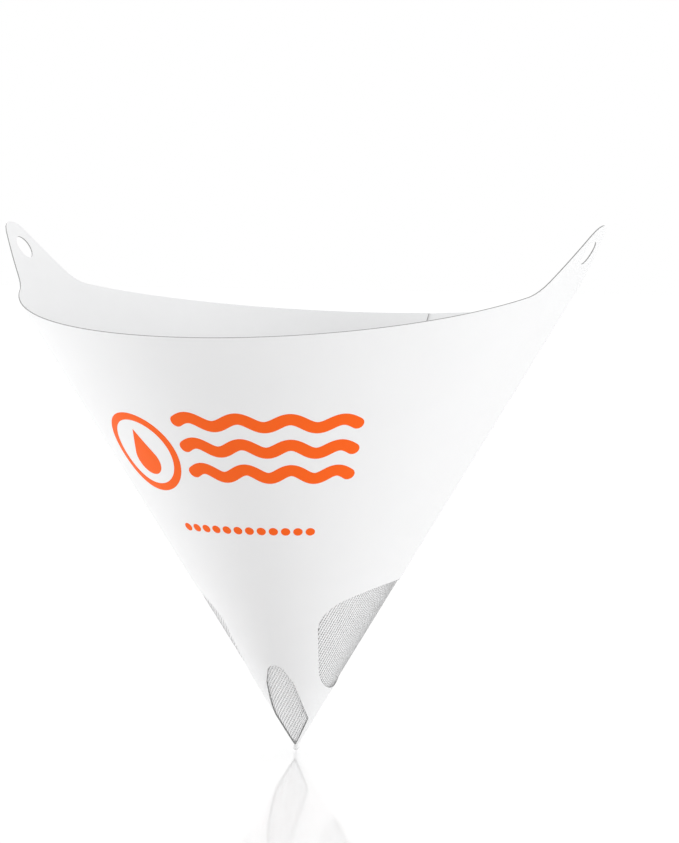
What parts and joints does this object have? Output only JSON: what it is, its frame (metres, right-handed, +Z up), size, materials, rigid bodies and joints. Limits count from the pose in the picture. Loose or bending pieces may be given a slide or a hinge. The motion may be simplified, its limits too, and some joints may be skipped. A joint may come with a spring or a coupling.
{
  "type": "paint strainer",
  "caption": "Disposable cone strainer: rolled paper cone with two punched hanging ears at its mouth and net-backed windows near its tip.",
  "frame": {"origin": "on the cone's axis, midway between the punched holes of the two ears", "axes": "+Z up out of the mouth along the cone's axis, +X to one ear, -Y to the front, where the small arched window is; the glued seam is on +Y"},
  "size_m": [0.1772, 0.1437, 0.147],
  "materials": {
    "coated_paper": "satin",
    "nylon_net": "fine woven, half transparent",
    "orange_ink": "flat print on the paper"
  },
  "bodies": {
    "root": {"paper_cone": "coated_paper", "nylon_net": "nylon_net"}
  },
  "joints": []
}
